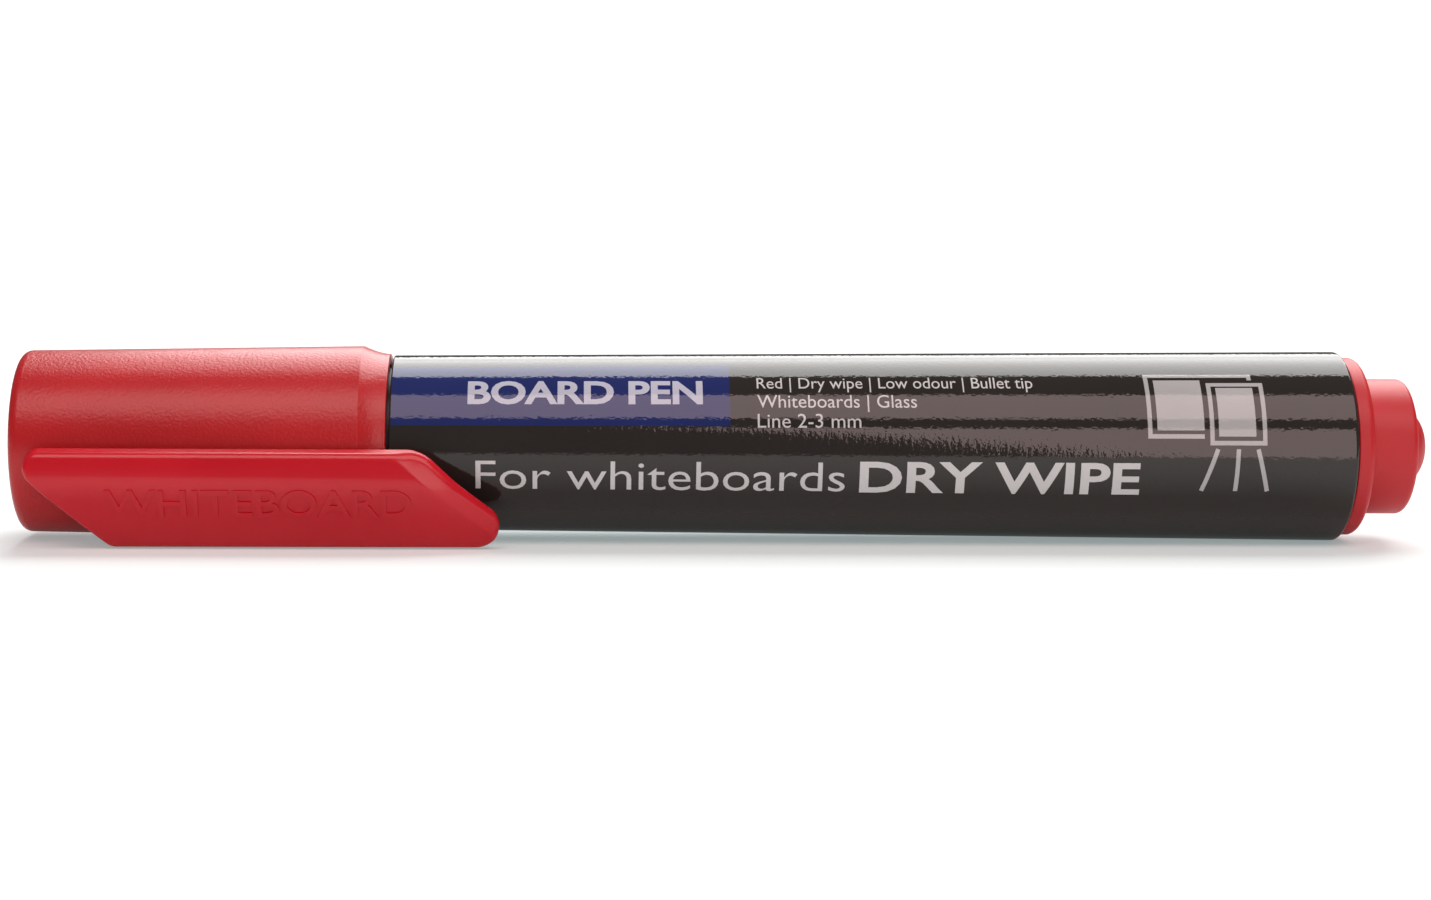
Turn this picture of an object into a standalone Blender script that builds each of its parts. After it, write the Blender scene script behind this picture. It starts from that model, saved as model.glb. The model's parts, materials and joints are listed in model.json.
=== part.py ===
"""Capped whiteboard marker lying on a table, cap to the left, with its clip's lower edge as the third foot.

Run with: blender --background --python part.py
Units are metres and +Z is up. The marker's axis runs along +X, from the cap's closed end to the tail plug.
The origin is the centre of the bounding box's underside. Stations along the axis are measured from the
cap's closed end, and radii from the marker's axis.
"""

import math

import bmesh
import bpy
from mathutils import Matrix, Vector

mm = 0.001
SEGMENTS = 40  # sides of a turned piece, a multiple of four so that one edge touches the table
GAP = 0.3 * mm  # running and seating clearance between separate pieces
LABEL_GAP = 0.1 * mm  # the film lies closer, on faces that are parallel to its own

# Overall
LENGTH = 138.0 * mm
REST_RADIUS = 9.37 * mm  # the cap's shoulder and the barrel's tail, which both touch the table

# Cap shell
CAP_END_RADIUS = 8.77 * mm
CAP_CORNER = 1.25 * mm
CAP_SHOULDER = 32.8 * mm
CAP_RIM = 35.4 * mm
CAP_RIM_RADIUS = 8.62 * mm
CAP_FLOOR = 1.5 * mm
CAP_BORE_DEEP = 7.45 * mm
CAP_BORE_MOUTH = 7.75 * mm

# Clip: a leaning parallelogram plate on a foot that stands in a slot in the cap's wall
CLIP_FACE = 12.0 * mm  # marker's axis to the clip's outer face
CLIP_THICKNESS = 1.3 * mm
CLIP_HALF_WIDTH = 5.1 * mm
CLIP_SLANT = math.radians(45)
CLIP_LEFT = 1.95 * mm  # station of the plate's left-most point
CLIP_RIGHT = 46.2 * mm
CLIP_NOSE_RADIUS = 1.35 * mm
CLIP_TIP_RADIUS = 2.3 * mm
CLIP_HEEL_RADIUS = 1.5 * mm
CLIP_SHOULDER_RADIUS = 2.5 * mm
CLIP_EDGE = 0.25 * mm
CLIP_FACET = 1.4 * mm  # width of the facet along the tip's slanted edge
CLIP_FACET_DEPTH = 0.45 * mm
CLIP_CHEEK_BEVEL = 0.12 * mm
FOOT_START = 5.6 * mm
FOOT_END = 14.6 * mm
FOOT_WIDTH = 2.4 * mm
FOOT_INNER = 8.1 * mm  # marker's axis to the foot's inner end
HINGE_STATION = 7.2 * mm
HINGE_HEIGHT = 9.0 * mm

# Inner cap, which seals round the nose
LINER_START = 2.0 * mm
LINER_WALL = 0.9 * mm
LINER_END_WALL = 1.3 * mm
LINER_BORE = 4.5 * mm
LINER_MOUTH = 21.8 * mm
LINER_FLANGE_RADIUS = 7.3 * mm
LINER_FLANGE_WIDTH = 1.2 * mm

# Nib
NIB_TIP = 9.0 * mm
NIB_RADIUS = 2.5 * mm
NIB_BULLET = 3.6 * mm
NIB_REAR = 52.0 * mm

# Nib holder
NOSE_FRONT = 15.2 * mm
NOSE_FRONT_RADIUS = 3.35 * mm
NOSE_RADIUS = 4.2 * mm
NOSE_CONE = 2.0 * mm
NOSE_REAR = 23.2 * mm
NECK_FRONT = 25.6 * mm
NECK_RADIUS = 7.3 * mm
BEAD_STATION = 31.4 * mm
BEAD_RADIUS = 7.5 * mm
BEAD_HALF_WIDTH = 0.7 * mm
COLLAR_RADIUS = 7.75 * mm
COLLAR_WIDTH = 0.9 * mm
SPIGOT_RADIUS = 7.0 * mm
SPIGOT_REAR = 45.0 * mm
POCKET_FRONT = 33.0 * mm
POCKET_RADIUS = 5.8 * mm
VENT_COUNT = 4
VENT_RADIUS = 0.7 * mm

# Barrel and its printed film
BARREL_FRONT = 35.72 * mm
BARREL_REAR = 128.7 * mm
BARREL_FRONT_RADIUS = 8.49 * mm
BARREL_FRONT_EDGE = 0.4 * mm
BARREL_REAR_EDGE = 0.7 * mm
BORE_FRONT_RADIUS = 7.3 * mm
BORE_REAR_RADIUS = 7.9 * mm
COUNTERBORE_RADIUS = 8.0 * mm
COUNTERBORE_DEPTH = 1.2 * mm
FILM_THICKNESS = 0.25 * mm
FILM_FRONT_MARGIN = 0.45 * mm  # bare barrel left beside the film
FILM_REAR_MARGIN = 0.8 * mm
RIB_COUNT = 4
RIB_WIDTH = 0.9 * mm
RIB_INNER = 6.9 * mm
RIB_FRONT = 50.0 * mm
RIB_REAR = 116.0 * mm

# Ink reservoir
RESERVOIR_FRONT = 45.5 * mm
RESERVOIR_REAR = 117.0 * mm
RESERVOIR_RADIUS = 6.1 * mm
WRAP_INNER = 6.3 * mm
WRAP_OUTER = 6.6 * mm

# Tail plug
PLUG_FRONT = 119.0 * mm
PLUG_RADIUS = 7.55 * mm
PLUG_BEAD_STATION = 125.6 * mm
PLUG_BEAD_RADIUS = 7.7 * mm
PLUG_BORE = 6.4 * mm
FLANGE_GAP = 0.12 * mm
FLANGE_REAR = 130.5 * mm
FLANGE_RADIUS = 8.81 * mm
FLANGE_EDGE = 0.65 * mm
POST_RADIUS = 6.7 * mm
POST_REAR = 135.4 * mm
POST_EDGE = 0.6 * mm
POST_BORE = 5.3 * mm
POST_WALL = 1.3 * mm
BUTTON_RADIUS = 3.8 * mm
BUTTON_STEPS = 5


def clip_lean():
    """Angle of the clip's outward direction below the horizontal, at which its lower edge touches the table.

    The plate's lower outer edge is a rounding of radius CLIP_EDGE, and the table is REST_RADIUS below the axis.
    """
    out = CLIP_FACE - CLIP_EDGE
    down = CLIP_HALF_WIDTH - CLIP_EDGE
    return math.asin((REST_RADIUS - CLIP_EDGE) / math.hypot(out, down)) - math.atan2(down, out)


LEAN = clip_lean()
# The bounding box runs from the clip's upper outer edge at the front to the barrel's back.
FRONT_REACH = (
    (CLIP_FACE - CLIP_EDGE) * math.cos(LEAN) + (CLIP_HALF_WIDTH - CLIP_EDGE) * math.sin(LEAN) + CLIP_EDGE
)
AXIS_START = Vector((-LENGTH / 2, (FRONT_REACH - REST_RADIUS) / 2, REST_RADIUS))


def barrel_radius(station):
    """Outer radius of the barrel and its film: a straight draft from front to tail."""
    share = (station - BARREL_FRONT) / (BARREL_REAR - BARREL_FRONT)
    return BARREL_FRONT_RADIUS + share * (REST_RADIUS - BARREL_FRONT_RADIUS)


def bore_radius(station):
    """Inner radius of the barrel, which is drafted too."""
    share = (station - BARREL_FRONT) / (BARREL_REAR - BARREL_FRONT)
    return BORE_FRONT_RADIUS + share * (BORE_REAR_RADIUS - BORE_FRONT_RADIUS)


def arc(centre, radius, start, end, steps):
    """Points of an arc in the plane of an outline. Angles are in degrees, from the first axis to the second."""
    points = []
    for i in range(steps + 1):
        angle = math.radians(start + (end - start) * i / steps)
        points.append((centre[0] + radius * math.cos(angle), centre[1] + radius * math.sin(angle)))
    return points


def plastic(name, color, roughness, metallic=0.0):
    material = bpy.data.materials.new(name)
    material.use_nodes = True
    shader = material.node_tree.nodes["Principled BSDF"]
    shader.inputs["Base Color"].default_value = (*color, 1.0)
    shader.inputs["Roughness"].default_value = roughness
    shader.inputs["Metallic"].default_value = metallic
    return material


def object_from(name, bm, material, parent):
    """Turns a bmesh into a named object under its parent empty, with its faces pointing out."""
    bmesh.ops.recalc_face_normals(bm, faces=bm.faces)
    mesh = bpy.data.meshes.new(name)
    bm.to_mesh(mesh)
    bm.free()
    mesh.shade_smooth()
    mesh.set_sharp_from_angle(angle=math.radians(35))
    piece = bpy.data.objects.new(name, mesh)
    if material:
        mesh.materials.append(material)
    bpy.context.scene.collection.objects.link(piece)
    piece.parent = parent
    return piece


def turned(name, outline, material, parent):
    """Revolves an outline of (station, radius) pairs about the marker's axis.

    An outline that starts and ends on the axis gives a solid, and any other is closed into a tube.
    """
    bm = bmesh.new()
    rings = []
    for station, radius in outline:
        ring = []
        for i in range(SEGMENTS if radius else 1):
            turn = 2 * math.pi * i / SEGMENTS
            ring.append(bm.verts.new((station, radius * math.cos(turn), radius * math.sin(turn))))
        rings.append(ring)
    following = rings[1:] if outline[0][1] == 0 else rings[1:] + rings[:1]
    for first, second in zip(rings, following):
        for i in range(SEGMENTS):
            j = (i + 1) % SEGMENTS
            if len(first) == 1:
                corners = (first[0], second[i], second[j])
            elif len(second) == 1:
                corners = (first[i], second[0], first[j])
            else:
                corners = (first[i], second[i], second[j], first[j])
            bm.faces.new(corners)
    return object_from(name, bm, material, parent)


def block(name, low, high, parent, turn=0.0):
    """A box for a Boolean, between two corners in its parent's axes, turned about the marker's axis."""
    bm = bmesh.new()
    bmesh.ops.create_cube(bm, size=1.0)
    size = Vector(high) - Vector(low)
    bmesh.ops.scale(bm, verts=bm.verts, vec=size)
    bmesh.ops.translate(bm, verts=bm.verts, vec=(Vector(low) + Vector(high)) / 2)
    bm.transform(Matrix.Rotation(turn, 4, "X"))
    helper = object_from(name, bm, None, parent)
    helper.hide_render = True
    helper.display_type = "WIRE"
    return helper


def combine(piece, helper, operation):
    modifier = piece.modifiers.new(f"{operation.lower()} {helper.name}", "BOOLEAN")
    modifier.operation = operation
    modifier.object = helper
    modifier.solver = "EXACT"


def empty(name, place, turn=0.0, parent=None):
    """An axis that pieces hang on, turned about X."""
    frame = bpy.data.objects.new(name, None)
    bpy.context.scene.collection.objects.link(frame)
    frame.parent = parent
    frame.location = place
    frame.rotation_euler = (turn, 0, 0)
    return frame


def cap_outline():
    """Outer shape and bore of the cap: a rounded closed end, a slight flare, and a hollow-ground shoulder."""
    shoulder_drop = REST_RADIUS - CAP_RIM_RADIUS
    outer = [(0.0, 0.0)]
    corner = (CAP_CORNER, CAP_END_RADIUS - CAP_CORNER)
    outer += arc(corner, CAP_CORNER, 180, 93, 5)
    outer.append((CAP_SHOULDER, REST_RADIUS))
    for share in (0.33, 0.66, 1.0):
        station = CAP_SHOULDER + share * (CAP_RIM - CAP_SHOULDER - 0.15 * mm)
        outer.append((station, REST_RADIUS - shoulder_drop * (1 - (1 - share) ** 1.7)))
    outer.append((CAP_RIM, CAP_RIM_RADIUS - 0.15 * mm))
    bore = [(CAP_RIM, CAP_BORE_MOUTH), (CAP_FLOOR + 0.5 * mm, CAP_BORE_DEEP)]
    bore += [(CAP_FLOOR, CAP_BORE_DEEP - 0.5 * mm), (CAP_FLOOR, 0.0)]
    return outer + bore


def liner_outline():
    """The inner cap: a cup with a locating flange at its mouth."""
    outer_radius = LINER_BORE + LINER_WALL
    flange_front = LINER_MOUTH - LINER_FLANGE_WIDTH
    return [
        (LINER_START, 0.0),
        (LINER_START, outer_radius - 0.5 * mm),
        (LINER_START + 0.5 * mm, outer_radius),
        (flange_front, outer_radius),
        (flange_front, LINER_FLANGE_RADIUS),
        (LINER_MOUTH, LINER_FLANGE_RADIUS),
        (LINER_MOUTH, LINER_BORE + 0.4 * mm),
        (LINER_MOUTH - 0.8 * mm, LINER_BORE),
        (LINER_START + LINER_END_WALL, LINER_BORE),
        (LINER_START + LINER_END_WALL, 0.0),
    ]


def nib_outline():
    """A bullet-shaped fibre rod: the tip is an ellipse, and the rear end is cut square."""
    outline = []
    for i in range(7):
        angle = math.radians(90 * i / 6)
        station = NIB_TIP + NIB_BULLET * (1 - math.cos(angle))
        outline.append((station, NIB_RADIUS * math.sin(angle)))
    return outline + [(NIB_REAR, NIB_RADIUS), (NIB_REAR, 0.0)]


def holder_outline():
    """The nib holder: nose, neck with its snap bead, collar and spigot outside, nib bore and pocket inside."""
    collar_front = BARREL_FRONT + 0.1 * mm
    nib_bore = NIB_RADIUS + GAP
    return [
        (NOSE_FRONT, nib_bore),
        (NOSE_FRONT, NOSE_FRONT_RADIUS),
        (NOSE_FRONT + NOSE_CONE, NOSE_RADIUS),
        (NOSE_REAR, NOSE_RADIUS),
        (NECK_FRONT, NECK_RADIUS),
        (BEAD_STATION - BEAD_HALF_WIDTH, NECK_RADIUS),
        (BEAD_STATION, BEAD_RADIUS),
        (BEAD_STATION + BEAD_HALF_WIDTH, NECK_RADIUS),
        (collar_front, NECK_RADIUS),
        (collar_front, COLLAR_RADIUS),
        (collar_front + COLLAR_WIDTH, COLLAR_RADIUS),
        (collar_front + COLLAR_WIDTH, SPIGOT_RADIUS),
        (SPIGOT_REAR, SPIGOT_RADIUS),
        (SPIGOT_REAR, POCKET_RADIUS),
        (POCKET_FRONT, POCKET_RADIUS),
        (POCKET_FRONT, nib_bore),
    ]


def barrel_outline():
    """The barrel: rounded ends, a shallow recess for the film, a counterbore for the collar, a drafted bore."""
    recess = FILM_THICKNESS + LABEL_GAP
    film_front = BARREL_FRONT + FILM_FRONT_MARGIN
    film_rear = BARREL_REAR - FILM_REAR_MARGIN
    front_centre = (BARREL_FRONT + BARREL_FRONT_EDGE, BARREL_FRONT_RADIUS - BARREL_FRONT_EDGE)
    rear_centre = (BARREL_REAR - BARREL_REAR_EDGE, REST_RADIUS - BARREL_REAR_EDGE)
    counterbore_end = BARREL_FRONT + COUNTERBORE_DEPTH
    outline = arc(front_centre, BARREL_FRONT_EDGE, 180, 90, 3)
    outline += [
        (film_front, barrel_radius(film_front)),
        (film_front, barrel_radius(film_front) - recess),
        (film_rear, barrel_radius(film_rear) - recess),
        (film_rear, barrel_radius(film_rear)),
    ]
    outline += arc(rear_centre, BARREL_REAR_EDGE, 90, 0, 4)
    outline += [
        (BARREL_REAR, bore_radius(BARREL_REAR)),
        (counterbore_end, bore_radius(counterbore_end)),
        (counterbore_end, COUNTERBORE_RADIUS),
        (BARREL_FRONT, COUNTERBORE_RADIUS),
    ]
    return outline


def film_outline():
    front = BARREL_FRONT + FILM_FRONT_MARGIN + LABEL_GAP
    rear = BARREL_REAR - FILM_REAR_MARGIN - LABEL_GAP
    return [
        (front, barrel_radius(front)),
        (rear, barrel_radius(rear)),
        (rear, barrel_radius(rear) - FILM_THICKNESS),
        (front, barrel_radius(front) - FILM_THICKNESS),
    ]


def plug_outline():
    """The tail plug: a hollow spigot with a bead, the flange, the post for the cap, and the end button."""
    flange_front = BARREL_REAR + FLANGE_GAP
    outline = [
        (PLUG_FRONT, PLUG_BORE),
        (PLUG_FRONT, PLUG_RADIUS - 0.4 * mm),
        (PLUG_FRONT + 0.8 * mm, PLUG_RADIUS),
        (PLUG_BEAD_STATION - 0.5 * mm, PLUG_RADIUS),
        (PLUG_BEAD_STATION, PLUG_BEAD_RADIUS),
        (PLUG_BEAD_STATION + 0.5 * mm, PLUG_RADIUS),
        (flange_front, PLUG_RADIUS),
        (flange_front, FLANGE_RADIUS),
    ]
    outline += arc((FLANGE_REAR - FLANGE_EDGE, FLANGE_RADIUS - FLANGE_EDGE), FLANGE_EDGE, 90, 0, 3)
    outline.append((FLANGE_REAR, POST_RADIUS))
    outline += arc((POST_REAR - POST_EDGE, POST_RADIUS - POST_EDGE), POST_EDGE, 90, 0, 3)
    button_height = LENGTH - POST_REAR
    for i in range(BUTTON_STEPS):
        angle = math.radians(90 * i / BUTTON_STEPS)
        outline.append((POST_REAR + button_height * math.sin(angle), BUTTON_RADIUS * math.cos(angle)))
    outline.append((LENGTH, 0.0))
    inside = [
        (POST_REAR - POST_WALL, 0.0),
        (POST_REAR - POST_WALL, POST_BORE),
        (FLANGE_REAR - POST_WALL, POST_BORE),
        (FLANGE_REAR - POST_WALL, PLUG_BORE),
    ]
    # The outline runs from the axis, through the hollow and over the outside, back to the axis.
    return inside + outline


def clip_corners(inset=0.0, facet=0.0):
    """Outline of the clip's plate, counter-clockwise as (station, height) seen from outside.

    It is a parallelogram with slanted ends and rounded corners. inset draws every side in, and facet draws
    in the tip's slanted side further.
    """
    top = CLIP_HALF_WIDTH - inset
    nose = max(CLIP_NOSE_RADIUS - inset, 0.2 * mm)
    tip = max(CLIP_TIP_RADIUS - inset, 0.2 * mm)
    heel = max(CLIP_HEEL_RADIUS - inset, 0.2 * mm)
    shoulder = max(CLIP_SHOULDER_RADIUS - inset, 0.2 * mm)
    slant_run = CLIP_TIP_RADIUS / math.tan(CLIP_SLANT / 2)
    left_run = CLIP_NOSE_RADIUS / math.tan(CLIP_SLANT / 2)
    inset_run = inset / math.tan(CLIP_SLANT / 2)
    facet_run = facet / math.sin(CLIP_SLANT)
    # Where the straight sides would meet, before rounding
    lower_right = CLIP_RIGHT - CLIP_TIP_RADIUS + slant_run - inset_run - facet_run
    upper_left = CLIP_LEFT + CLIP_NOSE_RADIUS - left_run + inset_run
    lean_run = 2 * top / math.tan(CLIP_SLANT)
    upper_right = lower_right - lean_run
    lower_left = upper_left + lean_run
    slant = math.degrees(CLIP_SLANT)
    acute = 1 / math.tan(CLIP_SLANT / 2)
    obtuse = math.tan(CLIP_SLANT / 2)
    points = arc((lower_right - tip * acute, -top + tip), tip, -90, 90 - slant, 8)
    points += arc((upper_right - shoulder * obtuse, top - shoulder), shoulder, 90 - slant, 90, 4)
    points += arc((upper_left + nose * acute, top - nose), nose, 90, 270 - slant, 7)
    points += arc((lower_left + heel * obtuse, -top + heel), heel, 270 - slant, 270, 4)
    return points


def clip_plate(material, parent):
    """The plate as a stack of outlines, from the cheek that faces the barrel to the outer face.

    A layer is a depth below the outer face and how far the sides are drawn in there.
    """
    layers = [
        (CLIP_THICKNESS, CLIP_CHEEK_BEVEL),
        (CLIP_THICKNESS - CLIP_CHEEK_BEVEL, 0.0),
        (CLIP_FACET_DEPTH, 0.0),
        (CLIP_EDGE, 0.0),
        (0.3 * CLIP_EDGE, 0.3 * CLIP_EDGE),
        (0.0, CLIP_EDGE),
    ]
    bm = bmesh.new()
    loops = []
    for depth, inset in layers:
        facet = CLIP_FACET * max(0.0, 1 - depth / CLIP_FACET_DEPTH)
        height = CLIP_FACE - depth - HINGE_HEIGHT
        loop = [bm.verts.new((s - HINGE_STATION, h, height)) for s, h in clip_corners(inset, facet)]
        loops.append(loop)
    count = len(loops[0])
    for lower, upper in zip(loops, loops[1:]):
        for i in range(count):
            j = (i + 1) % count
            bm.faces.new((lower[i], lower[j], upper[j], upper[i]))
    bm.faces.new(list(reversed(loops[0])))
    bm.faces.new(loops[-1])
    return object_from("clip", bm, material, parent)


def main():
    for old in list(bpy.data.objects):
        bpy.data.objects.remove(old)

    cap_red = plastic("cap_red", (0.52, 0.035, 0.045), 0.42)
    clip_red = plastic("clip_red", (0.52, 0.03, 0.045), 0.32)
    plug_red = plastic("plug_red", (0.58, 0.04, 0.055), 0.38)
    barrel_black = plastic("barrel_black", (0.02, 0.02, 0.02), 0.35)
    film_black = plastic("film_black", (0.025, 0.024, 0.023), 0.12)
    liner_white = plastic("liner_white", (0.78, 0.78, 0.76), 0.5)
    holder_black = plastic("holder_black", (0.03, 0.03, 0.03), 0.4)
    nib_fibre = plastic("nib_fibre", (0.45, 0.02, 0.03), 0.9)
    reservoir_fibre = plastic("reservoir_fibre", (0.4, 0.03, 0.04), 0.95)
    wrap_clear = plastic("wrap_clear", (0.8, 0.78, 0.76), 0.25)

    axis = empty("marker_axis", AXIS_START)
    twist_axis = empty("cap_twist_axis", (0, 0, 0), parent=axis)
    # The clip's own frame: X along the marker, Y up the plate, Z out from the marker's axis
    clip_turn = math.pi / 2 + LEAN
    hinge_place = Matrix.Rotation(clip_turn, 3, "X") @ Vector((HINGE_STATION, 0, HINGE_HEIGHT))
    clip_hinge = empty("clip_hinge", hinge_place, clip_turn, twist_axis)

    # Barrel group
    barrel = turned("barrel", barrel_outline(), barrel_black, axis)
    for i in range(RIB_COUNT):
        low = (RIB_FRONT, -RIB_WIDTH / 2, RIB_INNER)
        high = (RIB_REAR, RIB_WIDTH / 2, bore_radius(RIB_FRONT) + 0.5 * mm)
        rib = block(f"rib_shape_{i + 1}", low, high, axis, math.pi * (0.25 + i * 2 / RIB_COUNT))
        combine(barrel, rib, "UNION")
    turned("label_film", film_outline(), film_black, axis)
    holder = turned("nib_holder", holder_outline(), holder_black, axis)
    for i in range(VENT_COUNT):
        turn = math.pi * (0.25 + i * 2 / VENT_COUNT)
        reach = NIB_RADIUS + GAP + 0.4 * VENT_RADIUS
        low = (NOSE_FRONT - 1 * mm, -VENT_RADIUS, reach - VENT_RADIUS)
        high = (POCKET_FRONT + 1 * mm, VENT_RADIUS, reach)
        combine(holder, block(f"vent_cutter_{i + 1}", low, high, axis, turn), "DIFFERENCE")
    turned("nib", nib_outline(), nib_fibre, axis)
    core = [
        (NIB_REAR + GAP, 0.0),
        (NIB_REAR + GAP, NIB_RADIUS + GAP),
        (RESERVOIR_FRONT, NIB_RADIUS + GAP),
        (RESERVOIR_FRONT, RESERVOIR_RADIUS),
        (RESERVOIR_REAR, RESERVOIR_RADIUS),
        (RESERVOIR_REAR, 0.0),
    ]
    turned("ink_reservoir", core, reservoir_fibre, axis)
    wrap = [
        (RESERVOIR_FRONT, WRAP_INNER),
        (RESERVOIR_FRONT, WRAP_OUTER),
        (RESERVOIR_REAR, WRAP_OUTER),
        (RESERVOIR_REAR, WRAP_INNER),
    ]
    turned("reservoir_wrap", wrap, wrap_clear, axis)
    turned("tail_plug", plug_outline(), plug_red, axis)

    # Cap group
    turned("inner_cap", liner_outline(), liner_white, twist_axis)
    cap = turned("cap_shell", cap_outline(), cap_red, twist_axis)
    # The slot and the foot are both boxes in the clip's frame: station, height up the plate, distance out
    slot_low = (FOOT_START - GAP, -FOOT_WIDTH / 2 - GAP, CAP_BORE_DEEP - 1 * mm)
    slot_high = (FOOT_END + GAP, FOOT_WIDTH / 2 + GAP, CLIP_FACE)
    combine(cap, block("foot_slot", slot_low, slot_high, twist_axis, clip_turn), "DIFFERENCE")

    # Clip group
    clip = clip_plate(clip_red, clip_hinge)
    foot_low = (FOOT_START - HINGE_STATION, -FOOT_WIDTH / 2, FOOT_INNER - HINGE_HEIGHT)
    foot_high = (FOOT_END - HINGE_STATION, FOOT_WIDTH / 2, CLIP_FACE - CLIP_THICKNESS / 2 - HINGE_HEIGHT)
    combine(clip, block("foot_shape", foot_low, foot_high, clip_hinge), "UNION")


main()
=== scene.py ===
# %% [markdown]
# # A red whiteboard marker
# The marker lies on a pale table, capped, cap to the left. The frame, loaded first, holds every piece at
# its true size and knows how the cap pulls off and turns and how its clip bends. What is left is to give
# each piece the surface it has in the hand: a grained cap, a glossy printed sleeve, felt and fibre.
#
# The frame's pieces are faceted, which breaks up the highlights on a turned piece. So each one is turned
# again here with fine, rounded edges, and stands in for its faceted one.

import json
import math

import bmesh
import bpy
from mathutils import Matrix, Vector


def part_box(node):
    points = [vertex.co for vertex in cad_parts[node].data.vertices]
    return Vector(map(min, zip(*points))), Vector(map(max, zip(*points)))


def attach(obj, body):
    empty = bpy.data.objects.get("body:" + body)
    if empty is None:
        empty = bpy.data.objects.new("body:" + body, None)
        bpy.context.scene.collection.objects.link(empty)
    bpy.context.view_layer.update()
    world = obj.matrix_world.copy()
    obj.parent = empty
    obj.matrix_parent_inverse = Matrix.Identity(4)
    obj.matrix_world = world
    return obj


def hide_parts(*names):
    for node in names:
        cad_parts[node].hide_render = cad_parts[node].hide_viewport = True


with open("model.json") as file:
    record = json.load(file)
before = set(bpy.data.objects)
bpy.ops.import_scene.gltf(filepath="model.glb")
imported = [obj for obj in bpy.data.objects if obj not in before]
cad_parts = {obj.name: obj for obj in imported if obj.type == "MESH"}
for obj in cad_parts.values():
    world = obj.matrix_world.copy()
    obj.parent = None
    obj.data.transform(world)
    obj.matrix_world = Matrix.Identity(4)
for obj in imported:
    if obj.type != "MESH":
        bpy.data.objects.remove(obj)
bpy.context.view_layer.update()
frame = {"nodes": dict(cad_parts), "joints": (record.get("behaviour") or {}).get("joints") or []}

mm = 0.001


def new_object(name, data):
    """A new object in the scene, which holds a mesh, a light, a camera or a curve."""
    item = bpy.data.objects.new(name, data)
    bpy.context.scene.collection.objects.link(item)
    return item


def new_material(name):
    """A new material, its node tree, and the shader in it."""
    material = bpy.data.materials.new(name)
    material.use_nodes = True
    return material, material.node_tree, material.node_tree.nodes["Principled BSDF"]


# %% [markdown]
# ## Where things are
# All turned pieces share one axis, so a place on them is a station along it, counted from the cap's closed
# end, and a radius. The cap shell is round, so its box's middle lies on the axis. The clip leans down
# towards the table, and the frame's hinge for it runs along the plate's height and so gives the lean.

# %% Measure the frame
cap_low, cap_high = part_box("cap_shell")
START = Vector((cap_low.x, (cap_low.y + cap_high.y) / 2, (cap_low.z + cap_high.z) / 2))
REST_RADIUS = (cap_high.z - cap_low.z) / 2


def stations(node):
    """Where a piece begins and ends along the marker, from the cap's closed end."""
    low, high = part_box(node)
    return low.x - START.x, high.x - START.x


CAP_RIM = stations("cap_shell")[1]
BARREL_FRONT, BARREL_REAR = stations("barrel")
NIB_TIP, NIB_REAR = stations("nib")
PLUG_FRONT, TAIL = stations("tail_plug")
hinge = next(joint for joint in frame["joints"] if joint["name"] == "clip_flex")
PLATE_UP = -Vector(hinge["axis"]).normalized()
PLATE_OUT = Vector((0, -PLATE_UP.z, PLATE_UP.y))
LEAN = math.degrees(math.asin(-PLATE_OUT.z))
print(f"axis at y {START.y / mm:.2f} and z {START.z / mm:.2f} mm, clip {LEAN:.1f} degrees below level")

# %% [markdown]
# ## The camera
# The camera stands in front of the marker, about 26 cm away and a little above it, left of the middle, so
# the tail is seen slightly from in front. A 67 mm lens takes in the whole length.

# %% Camera
CAMERA_DISTANCE = 260.5 * mm
CAMERA_STATION = 53.7 * mm
CAMERA_ELEVATION = math.radians(5.6)
CAMERA_PAN = math.radians(2.95)  # to the right
CAMERA_TILT = math.radians(-0.14)
CAMERA_ROLL = math.radians(0.23)
CAMERA_LENS = 66.69


def make_camera():
    data = bpy.data.cameras.new("camera")
    data.lens = CAMERA_LENS
    data.sensor_width = 36.0
    data.clip_start = 0.01
    camera = new_object("camera", data)
    back = CAMERA_DISTANCE * math.cos(CAMERA_ELEVATION)
    rise = CAMERA_DISTANCE * math.sin(CAMERA_ELEVATION)
    place = Matrix.Translation(START + Vector((CAMERA_STATION, -back, rise)))
    level = Matrix.Rotation(math.radians(90) - CAMERA_ELEVATION, 4, "X")
    aim = Matrix.Rotation(CAMERA_TILT, 4, "X") @ Matrix.Rotation(-CAMERA_PAN, 4, "Y")
    camera.matrix_world = place @ level @ aim @ Matrix.Rotation(CAMERA_ROLL, 4, "Z")
    bpy.context.scene.camera = camera
    return camera


camera = make_camera()
bpy.context.scene.view_settings.view_transform = "Standard"
print("camera at", [round(value / mm) for value in camera.location], "mm")

# %% [markdown]
# ## Light, and why it comes before the materials here
# A glossy black tube has almost no colour of its own: what shows on it is the room, squeezed into long
# stripes. So the stripes are designed first. Each softbox is described by how high it stands in the sky as
# seen from the marker, from level in front (0 degrees) over the top (90) to level behind (180). The gaps
# between the boxes become the black stripes. The boxes stand two metres off, which keeps the stripes
# straight.

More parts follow.
